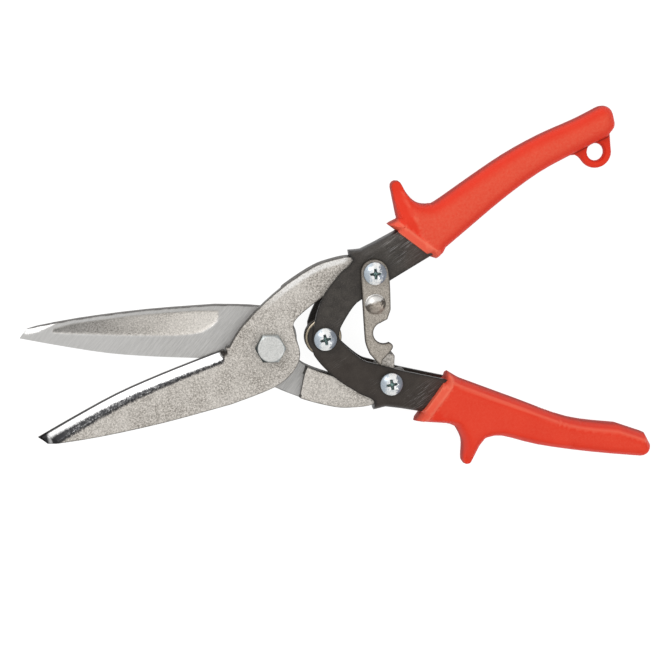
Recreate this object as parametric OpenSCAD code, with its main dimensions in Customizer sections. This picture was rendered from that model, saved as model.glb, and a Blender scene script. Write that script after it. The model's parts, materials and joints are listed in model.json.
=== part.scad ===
// Compound-action aviation snips with long blades, shown fully open.
// Origin: main blade pivot, on the plane the snips rest on. +X runs towards the
// handles, +Y towards the upper handle, +Z towards the hex bolt's head.

/* [Linkage] */
// Distance along X from the blade pivot to each blade tail's pivot
tail_reach = 47.1; // [46.5:0.1:47.5]
// Height of each tail pivot above or below the centre line
tail_rise = 23.7; // [23.3:0.1:24]
// Distance from the blade pivot to the handle pivot
handle_pivot_x = 22.8; // [22.5:0.1:23.2]
// Angle each blade tail turns from open to shut
half_closing = 13; // [12.5:0.1:13.1]

/* [Blades] */
// Thickness of one blade
blade_t = 5.45; // [5:0.05:5.5]
// How far a tail's thick part reaches past the shearing plane
tail_jog = 3.4; // [2.5:0.1:3.4]
// Width of the ground bevel behind the cutting edge
bevel_w = 4.6; // [3:0.1:5.5]
// Thickness left at the cutting edge
edge_land = 1.2; // [0.6:0.1:2]
// Depth of the hollow in a blade's inner face
hollow_depth = 0.6; // [0.3:0.1:1]

/* [Handles] */
// Sheet thickness of the handle channels
sheet_t = 2; // [1.8:0.1:2]
// Height of the shearing plane above the resting plane
mid_z = 9.5; // [9.5:0.1:10.5]
// Thickness of the moulded grips
grip_t = 19; // [17:0.5:19]
// Thickness of the horn on each grip
horn_t = 9.5; // [7:0.5:12]
// Thickness of the hanging loop
loop_t = 5; // [4:0.5:6]
// Radius of the hole in the hanging loop
loop_hole_r = 3.6; // [3:0.1:4]

/* [Fasteners] */
// Radius of the main pivot bolt
bolt_r = 4; // [3.5:0.1:4.5]
// Hex size across flats of the bolt head and its nut
hex_af = 11.2; // [11:0.1:12.7]
// Radius of a barrel post
post_r = 3.5; // [3.3:0.1:3.8]
// Radius of a screw shank
screw_r = 2.4; // [2:0.1:2.5]
// Radius of a screw head
head_r = 4.75; // [4.5:0.05:4.8]
// Height of a screw head
head_h = 3.4; // [3.2:0.1:3.7]

/* [Latch and spring] */
// Thickness of the latch plate
latch_t = 1.9; // [1.5:0.1:2]
// Angle the latch turns to hook the lower screw
latch_swing = 22.9; // [22.5:0.1:23.5]
// Wire diameter of the opening spring
wire_d = 2; // [1.8:0.1:2]
// Mean radius of the spring's coil
coil_r = 6.8; // [6.2:0.1:6.9]
// Distance the coil sits off its pivot, towards the blades
coil_shift = 0.3; // [0:0.05:0.3]
// Whole turns in the coil, besides the part turn between its legs
coil_turns = 2; // [1:1:2]

/* [Hidden] */
$fn = 64;
running = 0.05;
side_play = 0.05;
plane_gap = 0.02;
open_pivot_play = 0.42;
loose_play = 0.1;

upper_pivot = [tail_reach, tail_rise];
lower_pivot = [tail_reach, -tail_rise];
handle_pivot = [handle_pivot_x, 0];
handle_arm = norm(upper_pivot - handle_pivot);
open_tail_angle = atan2(tail_rise, tail_reach);
open_handle_angle = atan2(tail_rise, tail_reach - handle_pivot_x);
// The four-link rule ties the angles: tail arm x sin(tail angle) = handle arm x sin(handle angle)
shut_handle_angle = asin(norm(upper_pivot) * sin(open_tail_angle - half_closing) / handle_arm);

// Heights of the interleaved channel plates, outside to inside, above the shearing plane
inner_face = tail_jog + side_play;
plate_gap = 0.1;
outer_face = inner_face + sheet_t + plate_gap;
outer_top = outer_face + sheet_t;
channel_w = outer_top + inner_face + sheet_t;
latch_z = mid_z + outer_top + side_play;
washer_t = 0.6;

// ---- curves ----

function polar(r, a) = [r * cos(a), r * sin(a)];

function arc(c, r, a0, a1, n = 12) = [for (i = [0 : n]) c + polar(r, a0 + (a1 - a0) * i / n)];

function clamped(pts, i) = pts[max(0, min(len(pts) - 1, i))];

function spline_point(a, b, c, d, t) =
  0.5 * (2 * b + (c - a) * t + (2 * a - 5 * b + 4 * c - d) * t * t + (3 * b - a - 3 * c + d) * t * t * t);

// Smooth curve through the points, with n steps between each pair
function spline(pts, n = 5) = concat(
  [for (i = [0 : len(pts) - 2], k = [0 : n - 1])
    spline_point(clamped(pts, i - 1), pts[i], pts[i + 1], clamped(pts, i + 2), k / n)],
  [pts[len(pts) - 1]]
);

module slab(z0, z1) {
  translate([0, 0, z0]) linear_extrude(z1 - z0) children();
}

module hole(at, r, z0, z1) {
  translate([at[0], at[1], z0]) cylinder(r = r, h = z1 - z0);
}

// Everything that is the same on both sides is drawn for the upper or front piece,
// and turned over about the centre line for the other one
module turned_over() {
  translate([0, 0, mid_z]) rotate([180, 0, 0]) translate([0, 0, -mid_z]) children();
}

// ---- blades ----

edge_curve = spline([[-100.4, -20.8], [-84.8, -15], [-65.8, -8.5], [-46.9, -3.7], [-26, 0.7], [-19, 2]], 3);
neck_top = spline([[-16.4, 3.1], [-11, 9.5], [-0.9, 17.5], [10.6, 24.5], [22.7, 29.8], [30, 31.3],
  [37.3, 31.7], [42.6, 30.4]], 4);
tail_end_r = 7.8;
// The two heels meet on this face and stop the closing stroke
heel_angle = half_closing + 0.1;
neck_under = spline([[41, 16], [36, 18.4], [29.5, 18.7], [19.8, 14.4], [12, 9.3], [10.9, 5], [11.8, -4.7],
  [8.1, -11.3], [-0.8, -16.7], [-19.4, -20.6]], 4);
spine = spline([[-19.4, -20.6], [-47.6, -23.3], [-75.4, -24.5], [-97, -24.1]], 3);

blade_outline = concat(
  edge_curve,
  [[-18.8, 0.9], [-18.1, 0.9], [-18.1, 3.1]],
  neck_top,
  arc(upper_pivot, tail_end_r, 115, -36, 14),
  [[50.2, 18.9], [49.7, 18.3], [50, 15.8], [50.6, 12.8]],
  [polar(51.4, heel_angle), polar(47.6, heel_angle)],
  neck_under,
  spine
);

// The tail's thick part starts at this line, clear of the other blade's neck
module tail_side() {
  polygon([[13.7, 10.3], [9.2, 22.2], [4, 45], [70, 45], [70, 0], [24, 0]]);
}

module edge_bevel() {
  for (i = [0 : len(edge_curve) - 2]) {
    p = edge_curve[i];
    q = edge_curve[i + 1];
    run = norm(q - p);
    translate([p[0], p[1], mid_z])
      rotate([0, 0, atan2(q[1] - p[1], q[0] - p[0])])
        translate([-0.4, 0, 0])
          rotate([90, 0, 90])
            linear_extrude(run + 0.8)
              polygon([[0.5, edge_land - 0.5], [0.5, blade_t + 1], [-bevel_w - 1, blade_t + 1]]);
  }
}

hollow_outline = concat(
  [[-17.9, -18.4]],
  spline([[-18.4, -15.4], [-21, -12.6], [-30.5, -9.9], [-54.7, -13.7], [-74.8, -17.8], [-87.5, -20.6]], 3),
  [[-86.5, -22.6]],
  spline([[-78.5, -23.3], [-53, -22.4], [-26, -19.8]], 3)
);

module blade(pivot_hole_r, tail_hole_r) {
  difference() {
    union() {
      slab(mid_z + plane_gap, mid_z + blade_t) polygon(blade_outline);
      slab(mid_z - tail_jog, mid_z + blade_t) intersection() {
        polygon(blade_outline);
        tail_side();
      }
    }
    edge_bevel();
    slab(mid_z - 1, mid_z + plane_gap + hollow_depth) polygon(hollow_outline);
    hole([0, 0], pivot_hole_r, mid_z - blade_t, mid_z + 2 * blade_t);
    hole(upper_pivot, tail_hole_r, mid_z - blade_t, mid_z + 2 * blade_t);
  }
}

module front_blade() {
  color("silver") blade(bolt_r + running, post_r + running);
}

module rear_blade() {
  color("darkgray") turned_over() blade(bolt_r + running, post_r + open_pivot_play);
}

// ---- main pivot ----

hex_r = hex_af / 2 / cos(30);
thread_r = bolt_r - 0.2;
head_base = mid_z + blade_t;
bolt_head_h = 4;
nut_h = mid_z - blade_t - side_play;

module chamfered_hex(h, chamfer) {
  intersection() {
    cylinder(r = hex_r, h = h, $fn = 6);
    rotate_extrude() polygon([[0, 0], [hex_r, 0], [hex_r, h - chamfer / 2], [hex_r - chamfer, h], [0, h]]);
  }
}

module pivot_bolt() {
  color("lightgray") union() {
    translate([0, 0, head_base]) rotate([0, 0, -9]) chamfered_hex(bolt_head_h, 1.1);
    translate([0, 0, nut_h]) cylinder(r = bolt_r, h = head_base - nut_h);
    cylinder(r = thread_r, h = nut_h);
  }
}

module pivot_nut() {
  color("gray") difference() {
    translate([0, 0, nut_h]) rotate([180, 0, 0]) chamfered_hex(nut_h, 1.1);
    translate([0, 0, -1]) cylinder(r = thread_r + running, h = nut_h + 2);
  }
}

// ---- handles ----

outer_ear_r = 5.3;
inner_ear_r = 7;
web_top = [[43.4, 33.5], [49.7, 35.4], [59.3, 38.7], [88, 50.5], [116, 61.5]];
web_end = [[39.3, 30.3], [38.1, 28.6]];
waist = concat(
  spline([[28.6, 0.2], [30.2, 4], [36.6, 11.4], [41.2, 14], [53.2, 19.4]], 4),
  [[71.6, 26.7], [114, 51.5]]
);

function backwards(pts) = [for (i = [len(pts) - 1 : -1 : 0]) pts[i]];

// A side plate of the channel: from its waist round the grip end, back along the web and down to its ear
function side_plate(neck_edge, ear) = concat(waist, backwards(web_top), web_end, neck_edge, ear);

outer_plate = side_plate(
  spline([[33.6, 25.9], [26.1, 18.9], [21.7, 12.2], [19.4, 6.4]], 4),
  arc(handle_pivot, outer_ear_r, 160, 355, 16)
);
inner_plate = side_plate(
  spline([[34, 26], [25.6, 18.5], [20, 11.3], [17.3, 6.4]], 4),
  concat(arc(handle_pivot, inner_ear_r, 145, 290, 16), [[28.2, -3.4]])
);

// The channel's closed side follows its outer edge and ends in a small flared lip
module web_outline() {
  under = [for (p = web_top) p + [0.7, -sheet_t - 0.1]];
  polygon(concat([[38.4, 33.9]], web_top, backwards(under), [[39.9, 32]]));
}

module channel() {
  difference() {
    union() {
      slab(mid_z + outer_face, mid_z + outer_top) polygon(outer_plate);
      slab(mid_z - inner_face - sheet_t, mid_z - inner_face) polygon(inner_plate);
      slab(mid_z - inner_face - sheet_t, mid_z + outer_top) web_outline();
    }
    for (at = [upper_pivot, handle_pivot]) {
      hole(at, post_r + running, 0, mid_z + 2 * outer_top);
    }
  }
}

module upper_handle() {
  color("dimgray") channel();
}

module lower_handle() {
  color("dimgray") turned_over() channel();
}

// ---- grips ----

upper_body = concat(
  [[56.1, 41.9], [60.5, 43.3]],
  spline([[69, 45.7], [75.7, 47.2], [80.9, 49.4], [92.1, 54.8], [108.3, 62.2], [124.3, 67.8], [140, 71.8],
    [150.8, 75.3]], 3),
  arc([151.8, 71], 4.3, 80, 0, 5),
  [[156.3, 66.2]],
  spline([[152.3, 62.4], [136.7, 57.6], [121.5, 52.3], [105.3, 44.1], [88.6, 34.2], [78.6, 28.2]], 3),
  [[77.3, 26.3], [74.2, 24.3], [72, 25.4]]
);
upper_horn = concat(
  [[60.5, 41]],
  arc([62.2, 56.7], 2.4, 180, 24, 8),
  spline([[65.6, 54.2], [67, 51.6], [68.6, 49.6], [70.8, 48.1], [73.2, 47.5], [75.7, 47.3]], 2),
  [[76.5, 44]]
);
loop_at = [146.6, 56.9];
loop_r = 6.7;

lower_body = concat(
  [[71.5, -23.2], [69, -26.9], [54.5, -41.6], [57.8, -42.8], [68.5, -45.4], [80, -52.5]],
  spline([[83.3, -54.5], [90.1, -54.7], [104.7, -61.2], [126.1, -68.2], [148, -74.1]], 3),
  arc([148.4, -69.7], 4.3, -80, 0, 5),
  [[150.9, -64.4]],
  spline([[139.6, -58.3], [119.5, -52.1], [98, -39.9], [76.1, -27.2]], 4)
);
lower_horn = concat(
  [[68.5, -43]],
  spline([[71.3, -47.3], [73.2, -53.5], [72, -60.5]], 3),
  arc([74.1, -61.9], 2.3, 190, 320, 8),
  [[80.6, -56.8], [85, -53]]
);

// Room inside a grip for the channel it is moulded round
module channel_pocket() {
  polygon(concat([[40, 12], [71.6, 26.5], [115.4, 51], [117.4, 62]],
    backwards([for (p = web_top) p + [-0.05, loose_play]])));
}

module grip_solid(body, horn) {
  slab(0, grip_t) polygon(body);
  slab(mid_z - horn_t / 2, mid_z + horn_t / 2) polygon(horn);
}

module upper_grip() {
  color("orangered") difference() {
    union() {
      grip_solid(upper_body, upper_horn);
      slab(mid_z - loop_t / 2, mid_z + loop_t / 2) {
        translate(loop_at) circle(r = loop_r);
        polygon([[135.6, 60], [135.6, 57.2], [138, 57], [139.5, 55.9], [140.6, 54], [153.2, 56.5],
          [154, 68]]);
      }
    }
    hole(loop_at, loop_hole_r, -1, grip_t + 1);
    slab(mid_z - inner_face - sheet_t - loose_play, mid_z + outer_top + loose_play) channel_pocket();
  }
}

module lower_grip() {
  color("orangered") difference() {
    grip_solid(lower_body, lower_horn);
    turned_over() slab(mid_z - inner_face - sheet_t - loose_play, mid_z + outer_top + loose_play)
      channel_pocket();
  }
}

// ---- posts and screws ----

flange_r = 5;
flange_t = 1.6;
recess_w = 1.1;
recess_r = 2.5;
recess_depth = 1.9;

// Barrel post from z0 up to z1, with its flange behind z0 and a bore for the screw
module post(at, z0, z1) {
  translate([at[0], at[1], 0]) difference() {
    union() {
      translate([0, 0, z0]) cylinder(r = post_r, h = z1 - z0);
      translate([0, 0, z0 - flange_t]) cylinder(r = flange_r, h = flange_t);
    }
    translate([0, 0, z0 + 1]) cylinder(r = screw_r + running, h = z1 - z0);
  }
}

// Pan-head screw with a cross recess; its head sits on z and its shank goes down by depth
module screw(at, z, depth, turn) {
  crown = 1.8;
  dome_r = (head_r * head_r + crown * crown) / 2 / crown;
  translate([at[0], at[1], z]) rotate([0, 0, turn]) difference() {
    union() {
      intersection() {
        cylinder(r = head_r, h = head_h);
        translate([0, 0, head_h - dome_r]) sphere(r = dome_r, $fn = 96);
      }
      translate([0, 0, -depth]) cylinder(r = screw_r, h = depth + 0.5);
    }
    for (a = [0, 90]) {
      rotate([0, 0, a]) translate([-recess_r, -recess_w / 2, head_h - recess_depth])
        cube([2 * recess_r, recess_w, 3]);
    }
  }
}

upper_flange_z = mid_z - inner_face - sheet_t - side_play;
lower_flange_z = mid_z - outer_top - side_play;
handle_head_z = mid_z + outer_top + side_play;
upper_head_z = latch_z + latch_t + side_play + washer_t + side_play;
lower_head_z = mid_z + inner_face + sheet_t + side_play;
shank = 9;

module handle_post() {
  color("gray") post(handle_pivot, lower_flange_z, handle_head_z);
}

module upper_post() {
  color("gray") post(upper_pivot, upper_flange_z, upper_head_z);
}

module lower_post() {
  color("gray") post(lower_pivot, lower_flange_z, lower_head_z);
}

module handle_screw() {
  color("whitesmoke") screw(handle_pivot, handle_head_z, shank, 5);
}

module upper_screw() {
  color("whitesmoke") screw(upper_pivot, upper_head_z, shank, -5);
}

module lower_screw() {
  color("whitesmoke") screw(lower_pivot, lower_head_z, shank, 0);
}

// ---- opening spring ----

bushing_r = 4.8;

module spring_bushing() {
  color("darkgoldenrod") difference() {
    hole(handle_pivot, bushing_r, mid_z - inner_face + side_play, mid_z + inner_face - side_play);
    hole(handle_pivot, post_r + running, 0, 2 * mid_z);
  }
}

// The wire runs from the lower leg, round the coil and out along the upper leg.
// The legs leave the coil on its blade side and lie between the channel plates.
// The coil is loose on its bushing and sits a little towards the blades, just clear of them when shut.
coil_at = handle_pivot - [coil_shift, 0];
leg_angle = 34;
leg_len = 15;
helix_start = -90 - leg_angle;
helix_span = -360 * coil_turns - 2 * (90 - leg_angle);
helix_rise = (wire_d + 0.05) * -helix_span / 360;
helix_steps = 24 * coil_turns;

function coil_point(t) =
  let (xy = coil_at + polar(coil_r, helix_start + helix_span * t))
  [xy[0], xy[1], mid_z + (t - 0.5) * helix_rise];

function leg_point(t, angle, s) =
  let (c = coil_point(t), d = polar(s, angle))
  [c[0] + d[0], c[1] + d[1], c[2]];

spring_path = concat(
  [for (s = [leg_len, leg_len / 2]) leg_point(0, -leg_angle, s)],
  [for (i = [0 : helix_steps]) coil_point(i / helix_steps)],
  [for (s = [leg_len / 2, leg_len]) leg_point(1, leg_angle, s)]
);

// Round wire swept along a path that never runs straight up
module wire(path, r, sides = 12) {
  n = len(path);
  along = [for (i = [0 : n - 1]) let (d = path[min(n - 1, i + 1)] - path[max(0, i - 1)]) d / norm(d)];
  side = [for (t = along) let (s = cross(t, [0, 0, 1])) s / norm(s)];
  points = [for (i = [0 : n - 1], k = [0 : sides - 1])
    let (up = cross(side[i], along[i]))
    path[i] + r * (cos(360 * k / sides) * side[i] + sin(360 * k / sides) * up)];
  walls = [for (i = [0 : n - 2], k = [0 : sides - 1])
    let (k2 = (k + 1) % sides)
    [i * sides + k, i * sides + k2, (i + 1) * sides + k2, (i + 1) * sides + k]];
  first_cap = [for (k = [sides - 1 : -1 : 0]) k];
  last_cap = [for (k = [0 : sides - 1]) (n - 1) * sides + k];
  polyhedron(points, concat(walls, [first_cap, last_cap]));
}

module torsion_spring() {
  color("peru") wire(spring_path, wire_d / 2);
}

// ---- latch ----

shut_screw = handle_pivot + polar(handle_arm, open_handle_angle - 2 * shut_handle_angle);
notch_reach = norm(shut_screw - upper_pivot) + 0.15;
notch_angle = atan2(shut_screw[1] - tail_rise, shut_screw[0] - tail_reach) - latch_swing;
notch_at = upper_pivot + polar(notch_reach, notch_angle);
// The hook clears the domed part of the lower screw's head
notch_r = 4.4;
latch_top_r = 5.8;
stud_at = [45.4, 10.9];
stud_r = 2;

latch_outline = concat(
  arc(upper_pivot, latch_top_r, 5, 175, 14),
  spline([[40.6, 16], [39.2, 1], [38.9, -4.5], [39.9, -9.2]], 4),
  [[43.3, -14.6], [44.1, -14.2], [44.8, -12.5]],
  spline([[47.3, -10.6], [49.5, -8.6], [49.9, -7.3], [49.3, -6.3]], 3),
  [[48, -5.3], [46.5, 3], [49.3, 3.9]],
  spline([[51.3, 7.6], [52.3, 15], [52.9, 21]], 3)
);

module latch() {
  color("silver") difference() {
    slab(latch_z, latch_z + latch_t) polygon(latch_outline);
    hole(upper_pivot, post_r + running, 0, 4 * mid_z);
    hole(stud_at, stud_r + running, 0, 4 * mid_z);
    hole(notch_at, notch_r, 0, 4 * mid_z);
  }
}

stud_head_r = 4.3;
stud_head_h = 2.3;
stud_back_t = 1;

module latch_stud() {
  dome_r = (stud_head_r * stud_head_r + stud_head_h * stud_head_h) / 2 / stud_head_h;
  color("lightgray") translate([stud_at[0], stud_at[1], latch_z]) union() {
    translate([0, 0, latch_t + side_play]) intersection() {
      cylinder(r = stud_head_r, h = stud_head_h);
      translate([0, 0, stud_head_h - dome_r]) sphere(r = dome_r, $fn = 96);
    }
    translate([0, 0, -stud_back_t]) cylinder(r = stud_r, h = latch_t + stud_back_t + 0.5);
    translate([0, 0, -stud_back_t - side_play]) cylinder(r = stud_r + 1, h = stud_back_t);
  }
}

module latch_washer() {
  color("gainsboro") difference() {
    hole(upper_pivot, head_r, latch_z + latch_t + side_play, latch_z + latch_t + side_play + washer_t);
    hole(upper_pivot, post_r + running, 0, 4 * mid_z);
  }
}

front_blade();
rear_blade();
pivot_bolt();
pivot_nut();
upper_handle();
lower_handle();
upper_grip();
lower_grip();
handle_screw();
handle_post();
upper_screw();
upper_post();
lower_screw();
lower_post();
spring_bushing();
torsion_spring();
latch();
latch_stud();
latch_washer();
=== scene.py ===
import json
import math

import bpy
import numpy as np
from mathutils import Matrix, Vector
from mathutils.geometry import delaunay_2d_cdt


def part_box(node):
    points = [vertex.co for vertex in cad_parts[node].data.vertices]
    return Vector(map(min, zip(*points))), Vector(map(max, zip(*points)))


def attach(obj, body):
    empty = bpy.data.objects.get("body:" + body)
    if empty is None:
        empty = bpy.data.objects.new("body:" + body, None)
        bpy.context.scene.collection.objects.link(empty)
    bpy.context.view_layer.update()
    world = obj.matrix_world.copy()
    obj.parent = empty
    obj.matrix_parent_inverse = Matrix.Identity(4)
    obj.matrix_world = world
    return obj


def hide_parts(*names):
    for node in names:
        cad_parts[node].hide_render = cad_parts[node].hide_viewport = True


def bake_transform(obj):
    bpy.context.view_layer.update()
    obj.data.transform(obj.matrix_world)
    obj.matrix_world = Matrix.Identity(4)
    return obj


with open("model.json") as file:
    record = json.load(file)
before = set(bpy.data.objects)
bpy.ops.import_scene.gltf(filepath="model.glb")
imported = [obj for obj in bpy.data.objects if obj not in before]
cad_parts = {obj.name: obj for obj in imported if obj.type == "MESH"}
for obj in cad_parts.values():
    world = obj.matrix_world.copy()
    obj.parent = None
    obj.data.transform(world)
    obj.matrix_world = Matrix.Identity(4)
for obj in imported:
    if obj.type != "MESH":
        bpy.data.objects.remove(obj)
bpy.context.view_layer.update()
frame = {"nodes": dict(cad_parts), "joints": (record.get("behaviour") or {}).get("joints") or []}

MM = 0.001


# ---- measures taken from the frame, in millimetres ----

def joint_at(name):
    """Where a joint's axis stands, in mm."""
    spot = next(j for j in frame["joints"] if j["name"] == name)["pos_m"]
    return np.array(spot) / MM


def low(node):
    return np.array(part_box(node)[0]) / MM


def high(node):
    return np.array(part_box(node)[1]) / MM


def middle(node):
    return (low(node) + high(node)) / 2


SHEAR_Z = joint_at("handle_pivot")[2]
HANDLE_PIVOT = joint_at("handle_pivot")[:2]


# ---- flat geometry ----

def slice_node(node, z):
    """The closed loops, in mm, where a CAD node crosses the height z."""
    mesh = frame["nodes"][node].data
    mesh.calc_loop_triangles()
    spots = [tuple(v.co / MM) for v in mesh.vertices]
    links = {}
    for triangle in mesh.loop_triangles:
        cut = []
        for i, j in ((0, 1), (1, 2), (2, 0)):
            a, b = sorted((spots[triangle.vertices[i]], spots[triangle.vertices[j]]))
            if (a[2] < z) != (b[2] < z):
                t = (z - a[2]) / (b[2] - a[2])
                cut.append((round(a[0] + t * (b[0] - a[0]), 3), round(a[1] + t * (b[1] - a[1]), 3)))
        if len(cut) == 2 and cut[0] != cut[1]:
            links.setdefault(cut[0], []).append(cut[1])
            links.setdefault(cut[1], []).append(cut[0])
    loops = []
    while links:
        here = next(iter(links))
        loop = []
        while here is not None:
            loop.append(here)
            onward = links.pop(here)
            here = next((p for p in onward if p in links), None)
        if len(loop) > 2:
            loops.append(without_repeats(np.array(loop)))
    return sorted(loops, key=area, reverse=True)


def without_repeats(loop):
    gap = np.linalg.norm(loop - np.roll(loop, 1, 0), axis=1)
    return loop[gap > 0.01]


def area(loop):
    x, y = loop.T
    return abs(np.dot(x, np.roll(y, -1)) - np.dot(y, np.roll(x, -1))) / 2


def evenly(path, pitch):
    """An open path with its points about pitch apart; its ends stay."""
    run = np.concatenate([[0], np.cumsum(np.linalg.norm(np.diff(path, axis=0), axis=1))])
    count = max(1, round(run[-1] / pitch))
    at = np.linspace(0, run[-1], count + 1)
    return np.column_stack([np.interp(at, run, path[:, k]) for k in (0, 1)])


def resample(loop, pitch, corner=24):
    """A closed loop with its points about pitch apart; its corners stay."""
    ahead = np.roll(loop, -1, 0) - loop
    behind = loop - np.roll(loop, 1, 0)
    turn = np.arctan2(ahead[:, 1], ahead[:, 0]) - np.arctan2(behind[:, 1], behind[:, 0])
    turn = np.abs((np.degrees(turn) + 180) % 360 - 180)
    corners = np.flatnonzero(turn > corner)
    if len(corners) == 0:
        corners = np.array([0])
    parts = []
    for a, b in zip(corners, np.roll(corners, -1)):
        last = b if b > a else b + len(loop)
        parts.append(evenly(loop[np.arange(a, last + 1) % len(loop)], pitch)[:-1])
    return np.concatenate(parts)


def closed_segments(loops):
    return np.concatenate(loops), np.concatenate([np.roll(loop, -1, 0) for loop in loops])


def path_segments(path):
    return path[:-1], path[1:]


def distance(points, segments):
    """How far each point is from the nearest of the segments."""
    a, b = segments
    along = b - a
    size = np.maximum((along ** 2).sum(1), 1e-12)
    out = np.empty(len(points))
    for k in range(0, len(points), 2000):
        p = points[k:k + 2000, None, :]
        t = np.clip(((p - a) * along).sum(2) / size, 0, 1)
        gap = p - (a + t[..., None] * along)
        out[k:k + 2000] = np.sqrt((gap ** 2).sum(2).min(1))
    return out


def inside(points, loops):
    x, y = points.T
    odd = np.zeros(len(points), bool)
    for loop in loops:
        for (ax, ay), (bx, by) in zip(loop, np.roll(loop, -1, 0)):
            if ay != by:
                crosses = (ay > y) != (by > y)
                odd ^= crosses & (x < (bx - ax) * (y - ay) / (by - ay) + ax)
    return odd


def in_any(points, regions):
    return np.any([inside(points, loops) for loops in regions], axis=0)


def side_of(points, a, b):
    """Signed distance from the line a to b, positive on its left."""
    d = (b - a) / np.linalg.norm(b - a)
    return d[0] * (points[:, 1] - a[1]) - d[1] * (points[:, 0] - a[0])


def ring_points(loops, rings):
    """Rows of points beside each loop, with the distance each row should keep."""
    spots, gaps = [], []
    for loop in loops:
        along = np.roll(loop, -1, 0) - np.roll(loop, 1, 0)
        along /= np.linalg.norm(along, axis=1)[:, None]
        across = np.column_stack([-along[:, 1], along[:, 0]])
        for gap in rings:
            for way in (1, -1):
                spots.append(loop + way * gap * across)
                gaps.append(np.full(len(loop), gap))
    return np.concatenate(spots), np.concatenate(gaps)


def hex_grid(low_corner, high_corner, pitch):
    rows = []
    row_gap = pitch * math.sqrt(3) / 2
    for k, y in enumerate(np.arange(low_corner[1], high_corner[1], row_gap)):
        x = np.arange(low_corner[0] + (k % 2) * pitch / 2, high_corner[0], pitch)
        rows.append(np.column_stack([x, np.full(len(x), y)]))
    return np.concatenate(rows)


def fill(regions, pitch, rings=(), lines=(), extra=()):
    """Triangles over the union of the regions. Every region is a list of ready loops."""
    loops = [loop for region in regions for loop in region]
    edge = closed_segments(loops)
    everything = np.concatenate(loops)
    free = [hex_grid(everything.min(0), everything.max(0), pitch)]
    reach = [np.full(len(free[0]), max(rings, default=0) + 0.45 * pitch)]
    if len(rings):
        spots, gaps = ring_points(loops, rings)
        free.append(spots)
        reach.append(gaps * 0.93)
    for spots in extra:
        free.append(spots)
        reach.append(np.full(len(spots), 0.1))
    free, reach = np.concatenate(free), np.concatenate(reach)
    keep = (distance(free, edge) >= reach) & in_any(free, regions)
    free = free[keep]
    if len(lines):
        a = np.concatenate([line[:-1] for line in lines])
        b = np.concatenate([line[1:] for line in lines])
        free = free[distance(free, (a, b)) > 0.3 * pitch]
    spots, links = [], []
    for loop in loops:
        first = len(spots)
        spots += [Vector(p) for p in loop]
        links += [(first + i, first + (i + 1) % len(loop)) for i in range(len(loop))]
    for line in lines:
        first = len(spots)
        spots += [Vector(p) for p in line]
        links += [(first + i, first + i + 1) for i in range(len(line) - 1)]
    spots += [Vector(p) for p in free]
    made = delaunay_2d_cdt(spots, links, [], 0, 1e-5)
    points = np.array([tuple(p) for p in made[0]])
    faces = np.array([f for f in made[2] if len(f) == 3])
    centres = points[faces].mean(1)
    faces = faces[in_any(centres, regions)]
    used = np.unique(faces)
    place = np.full(len(points), -1)
    place[used] = np.arange(len(used))
    return points[used], place[faces]


def open_edges(faces):
    """Directed edges that belong to one triangle only."""
    edges = np.concatenate([faces[:, [0, 1]], faces[:, [1, 2]], faces[:, [2, 0]]])
    pairs = {(a, b) for a, b in edges.tolist()}
    return [(a, b) for a, b in edges.tolist() if (b, a) not in pairs]


# ---- meshes ----

def build(name, spots, faces, marks=None, sharp=38):
    """A mesh object from points in mm. marks are named numbers kept at each point."""
    mesh = bpy.data.meshes.new(name)
    mesh.from_pydata((np.asarray(spots) * MM).tolist(), [], [list(f) for f in faces])
    for mark, values in (marks or {}).items():
        layer = mesh.attributes.new(mark, "FLOAT", "POINT")
        layer.data.foreach_set("value", np.asarray(values, np.float32))
    mesh.validate()
    mesh.shade_smooth()
    mesh.set_sharp_from_angle(angle=math.radians(sharp))
    obj = bpy.data.objects.new(name, mesh)
    bpy.context.scene.collection.objects.link(obj)
    return obj


def turned_over(spots):
    """Half a turn about the line along X at the shearing plane."""
    return spots * (1, -1, -1) + (0, 0, 2 * SHEAR_Z)


def relief(name, regions, top, bottom, pitch, rings=(), lines=(), extra=(), marks=None, flipped=False, sharp=38):
    """A closed mesh over a flat outline.

    top and bottom give heights in mm from (points, distance to the edge). marks hold
    a function of (points, distance, is_top) each.
    """
    regions = [[resample(loop, pitch) for loop in region] for region in regions]
    flat, faces = fill(regions, pitch, rings, lines, extra)
    edges = open_edges(faces)
    ends = np.array(edges)
    gap = distance(flat, (flat[ends[:, 0]], flat[ends[:, 1]]))
    count = len(flat)
    spots = np.concatenate([
        np.column_stack([flat, top(flat, gap)]),
        np.column_stack([flat, bottom(flat, gap)]),
    ])
    shell = faces.tolist() + (faces[:, ::-1] + count).tolist()
    shell += [(b, a, a + count, b + count) for a, b in edges]
    values = {
        mark: np.concatenate([rule(flat, gap, True), rule(flat, gap, False)])
        for mark, rule in (marks or {}).items()
    }
    if flipped:
        spots = turned_over(spots)
    return build(name, spots, shell, values, sharp)


def turned(name, at, profile, steps=72, sharp=35):
    """A solid turned about the upright line at a place. The profile is closed (radius, height) pairs."""
    spots, rows = [], []
    for r, z in profile:
        if r < 1e-6:
            rows.append([len(spots)] * steps)
            spots.append((at[0], at[1], z))
        else:
            rows.append([len(spots) + k for k in range(steps)])
            turn = 2 * np.pi * np.arange(steps) / steps
            spots += np.column_stack([at[0] + r * np.cos(turn), at[1] + r * np.sin(turn), np.full(steps, z)]).tolist()
    faces = []
    for i in range(len(rows)):
        here, above = rows[i], rows[(i + 1) % len(rows)]
        for k in range(steps):
            m = (k + 1) % steps
            face = []
            for v in (here[k], here[m], above[m], above[k]):
                if v not in face:
                    face.append(v)
            if len(face) > 2:
                faces.append(face)
    return build(name, spots, faces, sharp=sharp)


def finish_piece(obj, material, body, slot, *nodes):
    obj.data.materials.append(material)
    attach(obj, body)
    if nodes:
        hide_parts(*nodes)
    return obj


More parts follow.
